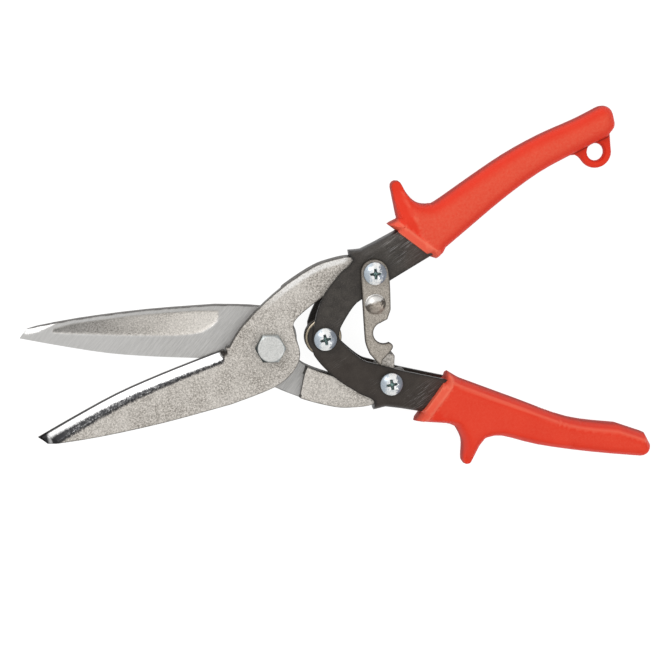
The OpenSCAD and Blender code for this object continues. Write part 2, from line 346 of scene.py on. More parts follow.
def modifier(obj, kind, **settings):
    made = obj.modifiers.new(kind.title(), kind)
    for key, value in settings.items():
        setattr(made, key, value)
    return made


# ---- profiles ----

def smooth_step(x, a, b):
    t = np.clip((x - a) / (b - a), 0, 1)
    return t * t * (3 - 2 * t)


def lower_of(a, b, blend):
    """The lower of two heights, with a rounded corner between them."""
    h = np.clip(0.5 + 0.5 * (b - a) / blend, 0, 1)
    return b + (a - b) * h - blend * h * (1 - h)


def higher_of(a, b, blend):
    return -lower_of(-a, -b, blend)


def round_off(d, r):
    """How far a rounded edge of radius r has dropped at a distance d from the side."""
    x = np.clip(r - d, 0, r)
    return r - np.sqrt(r * r - x * x)


def dark_rim(d, reach=0.5):
    """1 along a cut edge, fading to nothing a little way in."""
    return 1 - smooth_step(d, 0.1, reach)


def pillow(d, height, width, power):
    """Height of a padded edge: nothing at the side, full height from width inwards."""
    t = np.clip(d / width, 0, 1)
    return height * (1 - (1 - t) ** power) ** (1 / power)


# ---- materials ----

class Shader:
    """A small helper that builds one node material."""

    def __init__(self, name):
        self.material = bpy.data.materials.new(name)
        self.material.use_nodes = True
        self.tree = self.material.node_tree
        self.surface = self.tree.nodes["Principled BSDF"]
        place = self.tree.nodes.new("ShaderNodeTexCoord").outputs["Object"]
        self.mm = self.vector("SCALE", place, scale=1 / MM)

    def feed(self, socket, value):
        if isinstance(value, bpy.types.NodeSocket):
            self.tree.links.new(value, socket)
        else:
            socket.default_value = value

    def vector(self, operation, a, b=None, scale=None):
        made = self.tree.nodes.new("ShaderNodeVectorMath")
        made.operation = operation
        self.feed(made.inputs[0], a)
        if b is not None:
            self.feed(made.inputs[1], b)
        if scale is not None:
            made.inputs["Scale"].default_value = scale
        return made.outputs[0]

    def math(self, operation, a, b=0.0):
        made = self.tree.nodes.new("ShaderNodeMath")
        made.operation = operation
        self.feed(made.inputs[0], a)
        self.feed(made.inputs[1], b)
        return made.outputs[0]

    def stretched(self, scale, turn=0.0):
        """Position in mm, turned about Z by turn degrees, then scaled along each axis."""
        made = self.tree.nodes.new("ShaderNodeMapping")
        made.inputs["Rotation"].default_value = (0, 0, math.radians(turn))
        self.feed(made.inputs["Vector"], self.mm)
        return self.vector("MULTIPLY", made.outputs[0], scale)

    def noise(self, scale, detail=3.0, rough=0.55, place=None, distortion=0.0):
        made = self.tree.nodes.new("ShaderNodeTexNoise")
        self.feed(made.inputs["Vector"], place or self.mm)
        made.inputs["Scale"].default_value = scale
        made.inputs["Detail"].default_value = detail
        made.inputs["Roughness"].default_value = rough
        made.inputs["Distortion"].default_value = distortion
        return made.outputs[0]

    def remap(self, value, lo, hi, to_lo=0.0, to_hi=1.0):
        made = self.tree.nodes.new("ShaderNodeMapRange")
        for socket, number in zip(made.inputs, (value, lo, hi, to_lo, to_hi)):
            self.feed(socket, number)
        return made.outputs[0]

    def mix(self, share, a, b, kind="MIX"):
        made = self.tree.nodes.new("ShaderNodeMix")
        made.data_type = "RGBA"
        made.blend_type = kind
        self.feed(made.inputs[0], share)
        for socket, value in ((made.inputs[6], a), (made.inputs[7], b)):
            self.feed(socket, value if isinstance(value, bpy.types.NodeSocket) else (*value, 1.0))
        return made.outputs[2]

    def mark(self, name):
        made = self.tree.nodes.new("ShaderNodeAttribute")
        made.attribute_name = name
        return made.outputs["Fac"]

    def facing(self):
        """The three parts of the surface direction."""
        made = self.tree.nodes.new("ShaderNodeSeparateXYZ")
        geometry = self.tree.nodes.new("ShaderNodeNewGeometry")
        self.feed(made.inputs[0], geometry.outputs["Normal"])
        return made.outputs

    def facing_up(self):
        """1 where the surface faces straight up or down, 0 where it stands upright."""
        return self.math("ABSOLUTE", self.facing()[2])

    def bump(self, height, strength, depth=0.1):
        made = self.tree.nodes.new("ShaderNodeBump")
        made.inputs["Strength"].default_value = strength
        made.inputs["Distance"].default_value = depth * MM
        self.feed(made.inputs["Height"], height)
        return made.outputs[0]

    def set(self, **values):
        for name, value in values.items():
            socket = self.surface.inputs[name.replace("_", " ")]
            if isinstance(value, tuple) and len(value) == 3:
                value = (*value, 1.0)
            self.feed(socket, value)
        return self.material


def blade_steel():
    """Sandblasted forging with a polished bevel, a ragged painted dark reflection along it, and stoned lands inside."""
    s = Shader("blade_steel")
    share, ground, run = s.mark("bevel_share"), s.mark("ground"), s.mark("tip_share")
    grain = s.noise(1.35, 3, 0.85)
    fine = s.noise(2.3, 2, 0.8)
    patches = s.noise(0.06, 4, 0.6)
    blasted = s.mix(s.remap(grain, 0.36, 0.62), (0.25, 0.225, 0.195), (0.80, 0.755, 0.695))
    blasted = s.mix(s.remap(patches, 0.40, 0.64, 0, 0.42), blasted, (0.84, 0.80, 0.745))
    pits = s.math("MULTIPLY", s.remap(fine, 0.54, 0.64), s.remap(patches, 0.35, 0.6, 0.85, 0.4))
    blasted = s.mix(pits, blasted, (0.10, 0.085, 0.07))
    sunk = s.mark("sunk")
    # Painted light and shade in the hollow: paler toward the root, darkened toward the tip.
    blasted = s.mix(s.math("MULTIPLY", sunk, s.remap(run, 0.45, 0.0, 0, 0.5)), blasted, (0.90, 0.865, 0.81))
    shade = s.math("MULTIPLY", sunk, s.remap(run, 0.2, 0.85, 0.0, 0.72))
    blasted = s.mix(shade, blasted, (0.12, 0.122, 0.125))
    lines = s.noise(1.0, 4, 0.7, place=s.stretched((0.22, 4.5, 1), turn=-42))
    stoned = s.mix(s.remap(lines, 0.32, 0.68), (0.43, 0.423, 0.41), (0.64, 0.63, 0.612))
    stoned = s.mix(s.math("MULTIPLY", s.remap(run, 0.25, 0.6), 0.3), stoned, (0.68, 0.675, 0.665))
    body = s.mix(ground, blasted, stoned)
    body = s.mix(s.mark("facet"), body, (0.97, 0.965, 0.95))
    # Painted highlight along the rounded top of the neck.
    body = s.mix(s.math("MULTIPLY", s.mark("sheen"), s.remap(grain, 0.3, 0.6, 0.35, 0.95)), body, (0.96, 0.95, 0.93))
    # Painted dark reflection: a ragged dark band along the lower part of the bevel, with gaps in it, reaching to the
    # tip.
    fringe_noise = s.noise(1.0, 4, 0.8, place=s.stretched((3.2, 0.45, 1), turn=-19))
    reach = s.remap(run, 0.6, 1.0, 0.15, 0.09)
    wobble = s.math("MULTIPLY", s.remap(fringe_noise, 0.28, 0.72, -1.0, 1.0), reach)
    ragged = s.math("ADD", share, wobble)
    bevel = s.remap(ragged, 1.0, 0.92)
    start = s.remap(run, 0.05, 1.0, 0.76, 0.36)
    soft = s.remap(run, 0.6, 1.0, 0.10, 0.20)
    dark = s.math("DIVIDE", s.math("SUBTRACT", ragged, start), soft)
    dark = s.math("MINIMUM", s.math("MAXIMUM", dark, 0.0), 1.0)
    dark = s.math("MULTIPLY", dark, s.remap(ragged, 1.22, 1.10))
    holes = s.remap(s.noise(0.9, 3, 0.6), 0.3, 0.52, 0.7, 1.0)
    dark = s.math("MULTIPLY", dark, s.math("MAXIMUM", holes, s.remap(run, 0.6, 0.9)))
    dark = s.math("MAXIMUM", dark, s.math("MULTIPLY", s.remap(run, 0.972, 0.99), s.remap(ragged, 1.3, 1.1)))
    colour = s.mix(bevel, body, (0.97, 0.965, 0.96))
    colour = s.mix(s.math("MULTIPLY", dark, 0.97), colour, (0.022, 0.022, 0.025))
    # Painted shade in the notch at the root of the bevel.
    colour = s.mix(s.math("MULTIPLY", s.mark("notch"), 0.9), colour, (0.04, 0.028, 0.02))
    # The near-black lip along the cutting edge belongs to the same painted dark reflection.
    lip = s.remap(share, 0.17, 0.10)
    colour = s.mix(s.math("MULTIPLY", lip, 0.96), colour, (0.014, 0.012, 0.012))
    # Painted shade: a dark line along the cut edges, broken by noise, but not along the cutting edge.
    rim = s.math("MULTIPLY", s.mark("rim"), s.remap(s.noise(0.35, 3, 0.6), 0.35, 0.6, 0.35, 0.95))
    colour = s.mix(rim, colour, (0.04, 0.034, 0.03))
    # Painted shade on the upright sides of the blade.
    wall = s.remap(s.facing_up(), 0.6, 0.3)
    colour = s.mix(s.math("MULTIPLY", wall, 0.88), colour, (0.055, 0.048, 0.042))
    rough = s.remap(ground, 0, 1, 0.52, 0.38)
    rough = s.math("SUBTRACT", rough, s.math("MULTIPLY", bevel, 0.30))
    height = s.math("MULTIPLY", s.math("ADD", grain, fine), s.remap(ground, 0, 1, 1, 0.1))
    height = s.math("MULTIPLY", height, s.remap(bevel, 0, 1, 1, 0.03))
    height = s.math("ADD", height, s.math("MULTIPLY", lines, s.math("MULTIPLY", ground, 0.3)))
    return s.set(Base_Color=colour, Metallic=s.remap(bevel, 0, 1, 0.65, 1.0), Roughness=rough,
                 Normal=s.bump(height, 0.6, 0.16))


def black_oxide():
    """Blackened sheet: grey-black with a faint mottle, painted shade along every cut edge, painted reflections browner
    towards the lower handle and reddish by the grips, and pale streaks that are partly scuffs from wear and partly
    painted highlight.
    """
    s = Shader("black_oxide")
    mottle = s.noise(0.22, 5, 0.65)
    grain = s.noise(3.2, 3, 0.6)
    colour = s.mix(s.remap(mottle, 0.3, 0.7), (0.030, 0.026, 0.023), (0.064, 0.056, 0.048))
    colour = s.mix(s.remap(grain, 0.5, 0.68, 0, 0.45), colour, (0.125, 0.11, 0.095))
    # Painted reflection: browner and darker towards the lower handle.
    split = s.tree.nodes.new("ShaderNodeSeparateXYZ")
    s.feed(split.inputs[0], s.mm)
    colour = s.mix(s.remap(split.outputs["Y"], 4, -12, 0, 0.5), colour, (0.030, 0.019, 0.013))
    # Painted reflection of the red grips, reddish towards the grip end.
    by_grip = s.math("MULTIPLY", s.remap(split.outputs["X"], 58, 78), 0.35)
    colour = s.mix(by_grip, colour, (0.11, 0.035, 0.022))
    # Pale streaks, partly scuffs from wear and partly painted highlight, strongest near the upper part of the web.
    scuffs = s.noise(1.0, 5, 0.7, place=s.stretched((0.12, 3.2, 0.6), turn=-26))
    where = s.math("MAXIMUM", s.mark("wear_and_highlight"), s.remap(s.noise(0.07, 2, 0.5), 0.52, 0.66, 0, 0.4))
    scuff_and_highlight = s.math("MULTIPLY", s.remap(scuffs, 0.54, 0.66), where)
    colour = s.mix(s.math("MULTIPLY", scuff_and_highlight, 0.6), colour, (0.40, 0.385, 0.38))
    # Painted shade along the cut edges.
    colour = s.mix(s.math("MULTIPLY", s.mark("rim"), 0.88), colour, (0.006, 0.005, 0.005))
    rough = s.remap(mottle, 0.3, 0.7, 0.34, 0.48)
    return s.set(Base_Color=colour, Metallic=0.2, Roughness=rough, Specular_IOR_Level=0.36,
                 Normal=s.bump(s.math("ADD", grain, scuffs), 0.3, 0.06))


def vinyl():
    """Satin moulded vinyl: a fine matt grain, a painted highlight down the middle, painted highlights on the collar,
    along the mouth, on a waist strip and at the crease, and painted shade on the rims and upright sides.
    """
    s = Shader("grip_vinyl")
    cloud = s.noise(0.06, 3, 0.5)
    grain = s.noise(1.6, 4, 0.7)
    colour = s.mix(s.remap(cloud, 0.3, 0.7), (0.75, 0.034, 0.013), (0.79, 0.044, 0.018))
    # Painted highlight down the middle of the sleeve.
    pale = s.math("MULTIPLY", s.mark("pale"), s.remap(s.noise(0.9, 4, 0.7), 0.3, 0.7, 0.35, 1.0))
    colour = s.mix(pale, colour, (0.82, 0.125, 0.068))
    colour = s.mix(s.remap(grain, 0.54, 0.72, 0, 0.22), colour, (0.84, 0.14, 0.08))
    # Painted highlights on the collar, the lines at the mouth and collar edge, the waist strip and the crease.
    colour = s.mix(s.math("MULTIPLY", s.mark("light"), 0.8), colour, (0.93, 0.20, 0.12))
    # Painted shade on the upright sides of the sleeve.
    wall = s.remap(s.facing_up(), 0.5, 0.1)
    colour = s.mix(s.math("MULTIPLY", wall, 0.5), colour, (0.46, 0.026, 0.010))
    # Painted shade: a dark line along the sleeve's outline.
    colour = s.mix(s.math("MULTIPLY", s.mark("rim"), 0.75), colour, (0.26, 0.012, 0.006))
    rough = s.remap(grain, 0.3, 0.7, 0.50, 0.62)
    return s.set(Base_Color=colour, Roughness=rough, Specular_IOR_Level=0.12, Normal=s.bump(grain, 0.35, 0.07))


def zinc():
    """Bright plated screw: pale, with a painted bluish reflection where the head faces upper left, painted shade where
    it faces right and on its sides, and painted shade with teal patches in the recess.
    """
    s = Shader("bright_zinc")
    x, y, z = s.facing()
    lines = s.noise(1.0, 3, 0.6, place=s.stretched((5.0, 0.8, 1), turn=30))
    blotch = s.noise(0.85, 4, 0.7, distortion=0.9)
    colour = s.mix(s.remap(blotch, 0.38, 0.50), (0.66, 0.70, 0.71), (0.98, 0.985, 0.97))
    # Painted reflection, bluish-grey, where the head faces upper left.
    left = s.math("ADD", s.math("SUBTRACT", s.math("MULTIPLY", y, 0.25), x), s.remap(blotch, 0.3, 0.7, -0.22, 0.22))
    colour = s.mix(s.remap(left, 0.24, 0.32, 0, 0.75), colour, (0.30, 0.38, 0.46))
    # Painted shade where the head faces right.
    right = s.math("ADD", s.math("SUBTRACT", x, s.math("MULTIPLY", y, 0.15)), s.remap(blotch, 0.3, 0.7, 0.2, -0.2))
    colour = s.mix(s.remap(right, 0.24, 0.33, 0, 0.9), colour, (0.16, 0.19, 0.24))
    # Painted shade in the cross recess: near-black, with teal patches of the plating.
    sunk = s.mark("sunk")
    depths = s.mix(s.remap(s.noise(1.6, 3, 0.7), 0.42, 0.56), (0.012, 0.03, 0.028), (0.30, 0.47, 0.44))
    colour = s.mix(s.remap(sunk, 0.15, 0.7), colour, depths)
    # Painted shade on the sloping sides of the head.
    rim = s.remap(z, 0.62, 0.35)
    colour = s.mix(rim, colour, (0.10, 0.10, 0.10))
    rough = s.remap(lines, 0.3, 0.7, 0.20, 0.34)
    return s.set(Base_Color=colour, Metallic=0.35, Roughness=rough, Normal=s.bump(lines, 0.12, 0.03))


def dull_zinc():
    """Plated bolt: a pale flat face, with painted shade on the chamfers and sides, darkest where they face left and
    down.
    """
    s = Shader("dull_zinc")
    x, y, z = s.facing()
    grain = s.noise(1.6, 4, 0.65)
    flat = s.remap(s.facing_up(), 0.90, 0.985)
    face = s.mix(s.remap(grain, 0.35, 0.65), (0.60, 0.605, 0.585), (0.79, 0.79, 0.765))
    # Painted shade: the chamfers and sides get a darker copy of the face colour.
    side = s.mix(s.remap(grain, 0.3, 0.7), (0.26, 0.28, 0.28), (0.55, 0.57, 0.56))
    # Painted shade, darkest where the sides face left and down.
    side = s.mix(s.remap(s.math("ADD", x, s.math("MULTIPLY", y, 0.4)), -0.1, -0.45), side, (0.05, 0.06, 0.06))
    colour = s.mix(flat, side, face)
    return s.set(Base_Color=colour, Metallic=0.65, Roughness=s.remap(grain, 0.3, 0.7, 0.32, 0.46),
                 Normal=s.bump(grain, 0.3, 0.06))


def latch_plate():
    """Tumbled plate with a warm speckle, painted shade along its cut edges and on its upright sides."""
    s = Shader("latch_plate")
    grain = s.noise(2.6, 3, 0.75)
    lines = s.noise(1.0, 4, 0.7, place=s.stretched((5.0, 0.3, 1), turn=4))
    colour = s.mix(s.remap(grain, 0.36, 0.62), (0.22, 0.195, 0.165), (0.57, 0.52, 0.455))
    colour = s.mix(s.remap(lines, 0.5, 0.7, 0, 0.35), colour, (0.66, 0.61, 0.545))
    # Painted shade along the cut edges.
    colour = s.mix(s.math("MULTIPLY", s.mark("rim"), 0.92), colour, (0.03, 0.022, 0.016))
    # Painted shade on every face that does not face up.
    up = s.remap(s.facing_up(), 0.5, 0.95)
    colour = s.mix(up, (0.03, 0.024, 0.018), colour)
    return s.set(Base_Color=colour, Metallic=0.65, Roughness=s.remap(lines, 0.3, 0.7, 0.38, 0.52),
                 Normal=s.bump(s.math("ADD", grain, lines), 0.3, 0.06))


def stud_steel():
    """Dome: brown-grey and smeared, with painted shade to the left, to the right and round its sides, and a painted
    highlight towards the top.
    """
    s = Shader("stud_steel")
    x, y, z = s.facing()
    warp = s.remap(s.noise(0.5, 3, 0.6, distortion=0.8), 0.3, 0.7, -0.22, 0.22)
    colour = s.mix(s.remap(s.noise(1.0, 4, 0.7), 0.35, 0.62), (0.24, 0.205, 0.17), (0.52, 0.46, 0.395))
    # Painted shade where the dome faces left.
    left = s.math("SUBTRACT", s.math("ADD", warp, s.math("MULTIPLY", y, 0.3)), x)
    colour = s.mix(s.remap(left, 0.18, 0.5, 0, 0.8), colour, (0.085, 0.07, 0.055))
    # Painted shade where the dome faces right.
    right = s.math("ADD", s.math("ADD", x, warp), s.math("MULTIPLY", y, 0.4))
    colour = s.mix(s.remap(right, 0.38, 0.5, 0, 0.85), colour, (0.05, 0.042, 0.035))
    # Painted highlight towards the top of the dome.
    cap = s.math("ADD", s.math("SUBTRACT", y, s.math("MULTIPLY", x, 0.15)), s.math("MULTIPLY", warp, 0.5))
    colour = s.mix(s.remap(cap, 0.16, 0.30, 0, 0.9), colour, (0.88, 0.865, 0.835))
    # Painted shade round the steep sides of the dome.
    colour = s.mix(s.remap(z, 0.76, 0.55), colour, (0.045, 0.036, 0.03))
    return s.set(Base_Color=colour, Metallic=0.5, Roughness=s.remap(s.noise(2.0), 0.3, 0.7, 0.36, 0.5),
                 Normal=s.bump(s.noise(1.2, 3), 0.15, 0.04))


def spring_wire():
    """Wire with a painted highlight along its top and painted shade down its sides."""
    s = Shader("spring_wire")
    grain = s.noise(1.8, 4, 0.6)
    # The lighter colour for the top of the wire, a painted highlight.
    lit_top = s.mix(s.remap(grain, 0.3, 0.7), (0.30, 0.25, 0.18), (0.58, 0.50, 0.38))
    # Painted shade down the sides of the wire.
    colour = s.mix(s.remap(s.facing_up(), 0.55, 0.85), (0.035, 0.028, 0.02), lit_top)
    return s.set(Base_Color=colour, Metallic=0.6, Roughness=s.remap(grain, 0.3, 0.7, 0.28, 0.42),
                 Normal=s.bump(grain, 0.2, 0.05))


def plain_steel(name, dark, light, rough):
    s = Shader(name)
    grain = s.noise(1.8, 4, 0.6)
    colour = s.mix(s.remap(grain, 0.3, 0.7), dark, light)
    return s.set(Base_Color=colour, Metallic=0.8, Roughness=s.remap(grain, 0.3, 0.7, rough - 0.07, rough + 0.07),
                 Normal=s.bump(grain, 0.2, 0.05))


def nylon():
    s = Shader("bushing_nylon")
    grain = s.noise(0.9, 3, 0.55)
    colour = s.mix(s.remap(grain, 0.3, 0.7), (0.55, 0.47, 0.33), (0.66, 0.58, 0.42))
    return s.set(Base_Color=colour, Roughness=s.remap(grain, 0.3, 0.7, 0.42, 0.58), Normal=s.bump(grain, 0.15, 0.05))


# ---- blades ----

def blade(name, node, steel, body, flipped):
    """One blade, drawn as the front one and turned over for the rear one."""
    way = -1 if flipped else 1
    thick = SHEAR_Z - low(node)[2] if flipped else high(node)[2] - SHEAR_Z
    jog = high(node)[2] - SHEAR_Z if flipped else SHEAR_Z - low(node)[2]

    def cut(z):
        return [loop * (1, way) for loop in slice_node(node, SHEAR_Z + way * z)]

    pitch = 0.75
    outline = cut(0.9)
    face = cut(thick - 0.1)[0]
    hollow = next(loop for loop in cut(0.3)[1:] if np.ptp(loop[:, 0]) > 30)
    tail = cut(-1.0)[0]
    land = 1.17
    main = resample(outline[0], pitch)
    on_edge = distance(main, closed_segments([face])) > 0.9
    first = np.flatnonzero(on_edge & ~np.roll(on_edge, 1))[0]
    main, on_edge = np.roll(main, -first, 0), np.roll(on_edge, -first)
    cutting = main[on_edge]
    if cutting[0][0] > cutting[-1][0]:
        cutting = cutting[::-1]
    tip_x, root_x = cutting[0][0], cutting[-1][0]
    root = cutting[-1] + (0.4, -0.6)

    # The tail's thick part starts at a straight step across the neck
    ends = closed_segments([tail])
    centres = (ends[0] + ends[1]) / 2
    longest = np.argmax(distance(centres, closed_segments([outline[0]])))
    step_a, step_b = ends[0][longest], ends[1][longest]
    if side_of(tail.mean(0)[None], step_a, step_b)[0] < 0:
        step_a, step_b = step_b, step_a
    along = (step_b - step_a) / np.linalg.norm(step_b - step_a)
    across = np.array([-along[1], along[0]])
    inner = resample(hollow, pitch)
    lines = []
    for shift in (-0.06, 0.06):
        line = evenly(np.array([step_a + 0.4 * along, step_b - 0.4 * along]) + shift * across, pitch)
        lines.append(line)

    edge_end = cutting[-3]
    edge_way = (cutting[-3] - cutting[-9]) / np.linalg.norm(cutting[-3] - cutting[-9])
    edge_line = np.vstack([cutting[:-2], edge_end + 12 * edge_way])

    def edge_gap(p):
        return distance(p, path_segments(edge_line))

    def bevel_height(p):
        """The ground bevel, and the steep shoulder where it runs out at the neck."""
        shoulder = 2.2 * np.clip((p - edge_end) @ edge_way - 0.6, 0, None)
        return land + slope(p) * edge_gap(p) + shoulder

    def tip_share(p):
        return np.clip((root_x - p[:, 0]) / (root_x - tip_x), 0, 1)

    def slope(p):
        return 1.04 - 0.26 * tip_share(p)

    def top(p, d):
        flat = thick - round_off(d, 0.55)
        return SHEAR_Z + lower_of(flat, bevel_height(p), 0.6)

    def in_hollow(p):
        return np.where(inside(p, [inner]), distance(p, closed_segments([inner])), 0)

    def on_tail(p):
        return side_of(p, step_a, step_b) > 0

    spine_side = main[~on_edge]
    spine_side = spine_side[(spine_side[:, 0] < root_x - 8) & (spine_side[:, 1] < -18)]
    spine_side = spine_side[np.argsort(spine_side[:, 0])]

    def facet(p):
        width = 2.3 * smooth_step(tip_share(p), 0.80, 0.97)
        return 0.42 * np.clip(width - distance(p, path_segments(spine_side)), 0, None)

    def bottom(p, d):
        sunk = 0.02 + 0.62 * smooth_step(in_hollow(p), 0.0, 1.0) + facet(p)
        blade_face = sunk + round_off(d, 0.3) * (distance(p, path_segments(cutting)) > 1.0)
        tail_face = -jog + round_off(d, 0.55)
        return SHEAR_Z + np.where(on_tail(p), tail_face, blade_face)

    def bevel_share(p, d, is_top):
        return (bevel_height(p) - land) / (thick - land) if is_top else np.full(len(p), 9.0)

    def ground(p, d, is_top):
        if is_top:
            return np.zeros(len(p))
        land_mask = 1 - smooth_step(in_hollow(p), 0.0, 0.7)
        return land_mask * np.where(on_tail(p), 0.0, 1.0)

    def sunk(p, d, is_top):
        return np.zeros(len(p)) if is_top else smooth_step(in_hollow(p), 0.05, 0.8)

    def along_blade(p, d, is_top):
        return tip_share(p)

    def bright(p, d, is_top):
        return np.zeros(len(p)) if is_top else smooth_step(facet(p), 0.02, 0.16)

    crown = main[np.argmax(main[:, 1])]
    edge_a, edge_b = closed_segments([main])
    upper = side_of((edge_a + edge_b) / 2, root, crown) > 0.3
    neck_top = (edge_a[upper], edge_b[upper])

    def sheen(p, d, is_top):
        """The rounded top of the neck, where a highlight is painted."""
        if not is_top:
            return np.zeros(len(p))
        band = 1 - smooth_step(np.abs(distance(p, neck_top) - 1.3), 0.5, 1.5)
        return band * smooth_step(p[:, 0], -2, 14)

    def rim(p, d, is_top):
        return dark_rim(d) * (distance(p, path_segments(cutting)) > 0.9)

    def notch(p, d, is_top):
        return 1 - smooth_step(np.linalg.norm(p - root, axis=1), 1.0, 2.6)

    obj = relief(name, [outline], top, bottom, pitch, rings=(0.12, 0.32, 0.6), lines=lines + [np.vstack([inner, inner[:1]])],
                 marks={"bevel_share": bevel_share, "ground": ground, "tip_share": along_blade,
                        "sunk": sunk, "notch": notch, "facet": bright, "rim": rim, "sheen": sheen},
                 flipped=flipped, sharp=30)
    return finish_piece(obj, steel, body, "forged_steel", node)


# ---- main pivot ----

def hex_bolt(material):
    node = "pivot_bolt"
    base = high("front_blade")[2]
    peak = high(node)[2]
    outline = slice_node(node, base + 0.5)
    reach = np.abs(np.linalg.norm(outline[0], axis=1)).max()
    shank, thread, nut_top = 4.0, 3.8, high("pivot_nut")[2]

    def top(p, d):
        r = np.linalg.norm(p, axis=1)
        cone = peak - 0.62 * (r - (reach - 1.25))
        return lower_of(np.full(len(p), peak), cone, 0.25) - round_off(d, 0.18)

    def bottom(p, d):
        r = np.linalg.norm(p, axis=1)
        end = 0.02 + 0.5 * smooth_step(r, thread - 0.6, thread)
        return np.where(r < thread + 0.01, end, np.where(r < shank + 0.01, nut_top, base + 0.02))

    circles = [circle(r, 64) for r in (thread, thread + 0.04, shank, shank + 0.04)]
    obj = relief("pivot_bolt_hex", [outline], top, bottom, 0.35, rings=(0.08, 0.2), extra=circles, sharp=32)
    return finish_piece(obj, material, "front_blade", "bolt_steel", node)


def circle(r, n, at=(0, 0)):
    turn = 2 * np.pi * np.arange(n) / n
    return np.column_stack([at[0] + r * np.cos(turn), at[1] + r * np.sin(turn)])


def hex_nut(material):
    node = "pivot_nut"
    lowest, peak = low(node)[2], high(node)[2]
    outline = slice_node(node, peak - 0.5)
    reach = np.linalg.norm(outline[0], axis=1).max()

    def top(p, d):
        return np.full(len(p), peak)

    def bottom(p, d):
        r = np.linalg.norm(p, axis=1)
        cone = lowest + 0.62 * (r - (reach - 1.2))
        throat = lowest + 0.9 * (4.35 - r)
        return higher_of(np.full(len(p), lowest), np.maximum(cone, throat), 0.25)

    obj = relief("pivot_nut_hex", [outline], top, bottom, 0.5, rings=(0.1, 0.25, 0.5), sharp=32)
    return finish_piece(obj, material, "front_blade", "bolt_steel", node)


# ---- handles ----

def open_chain(loop, a, b):
    """The two ways round a loop between the points nearest a and b."""
    i = np.argmin(np.linalg.norm(loop - a, axis=1))
    j = np.argmin(np.linalg.norm(loop - b, axis=1))
    n = len(loop)
    one = loop[np.arange(i, (j if j > i else j + n) + 1) % n]
    other = loop[np.arange(j, (i if i > j else i + n) + 1) % n][::-1]
    return one, other


def length(path):
    return np.linalg.norm(np.diff(path, axis=0), axis=1).sum()


def channel(name, node, material, body, flipped):
    """A bent-up sheet channel: two plates and the closed side that joins them, as one sheet."""
    way = -1 if flipped else 1
    pitch = 1.3
    bend = 4.0
    sheet = 2.0
    face_z = SHEAR_Z - low(node)[2] if flipped else high(node)[2] - SHEAR_Z
    back_z = high(node)[2] - SHEAR_Z if flipped else SHEAR_Z - low(node)[2]

    def cut(z):
        return [loop * (1, way) for loop in slice_node(node, SHEAR_Z + way * z)]

    plates = [cut(face_z - sheet / 2), cut(sheet / 2 - back_z)]
    strip = cut(0)[0]
    lip_end = strip[np.argmin(strip[:, 0])]
    grip_end = strip[np.argmax(strip[:, 1])]
    web = max(open_chain(strip, lip_end, grip_end), key=lambda path: evenly(path, pitch)[:, 1].mean())
    web = evenly(web, pitch)
    along = np.gradient(web, axis=0)
    along /= np.linalg.norm(along, axis=1)[:, None]
    inward = np.column_stack([along[:, 1], -along[:, 0]])
    arc_rows = [web + bend * (1 - math.cos(math.radians(a))) * inward for a in (18, 33, 48, 63, 78, 90)]
    spots, faces, web_rows, rims = [], [], [], []
    for plate, height, up in ((plates[0], face_z, 1), (plates[1], -back_z, -1)):
        rest = max(open_chain(plate[0], lip_end, grip_end), key=length)
        rest = rest[::-1] if np.linalg.norm(rest[0] - lip_end) < 1 else rest
        from_lip = np.linalg.norm(rest - lip_end, axis=1)
        rest = rest[(from_lip > 3.6) | (from_lip < 0.01)]
        loop = np.concatenate([web, resample_open(rest, pitch)[1:-1]])
        holes = [resample(hole, pitch) for hole in plate[1:] if area(hole) > 10]
        flat, tris = fill([[loop] + holes], pitch, rings=(0.55,), extra=arc_rows)
        rims.append(dark_rim(distance(flat, closed_segments([loop])), 0.8))
        drop = round_off(distance(flat, path_segments(web)), bend)
        first = len(spots)
        spots += np.column_stack([flat, SHEAR_Z + height - up * drop]).tolist()
        faces += ((tris if up > 0 else tris[:, ::-1]) + first).tolist()
        near = [first + int(np.argmin(((flat - p) ** 2).sum(1))) for p in web]
        web_rows.append(near)
    front, back = web_rows
    for k in range(len(front) - 1):
        faces.append((front[k], front[k + 1], back[k + 1], back[k]))
    spots = np.array(spots)
    if flipped:
        spots = turned_over(spots)
    # Where the pale streaks gather, partly scuffs from wear and partly painted highlight.
    hub = web[len(web) // 4] + 5.5 * inward[len(web) // 4]
    wear_and_highlight = 1 - smooth_step(np.linalg.norm(spots[:, :2] * (1, way) - hub, axis=1), 3.0, 11.0)
    obj = build(name, spots, faces, marks={"wear_and_highlight": wear_and_highlight, "rim": np.concatenate(rims)}, sharp=50)
    modifier(obj, "SOLIDIFY", thickness=sheet * MM, offset=-1, use_even_offset=False)
    modifier(obj, "BEVEL", width=0.28 * MM, segments=2, limit_method="ANGLE", angle_limit=math.radians(50))
    return finish_piece(obj, material, body, "black_steel", node)


def resample_open(path, pitch, corner=24):
    """An open path with its points about pitch apart; its corners stay."""
    steps = np.diff(path, axis=0)
    heading = np.degrees(np.arctan2(steps[:, 1], steps[:, 0]))
    turn = np.abs((np.diff(heading) + 180) % 360 - 180)
    stops = [0] + [i + 1 for i in np.flatnonzero(turn > corner)] + [len(path) - 1]
    parts = [evenly(path[a:b + 1], pitch)[:-1] for a, b in zip(stops, stops[1:])]
    return np.concatenate(parts + [path[-1:]])


# ---- grips ----

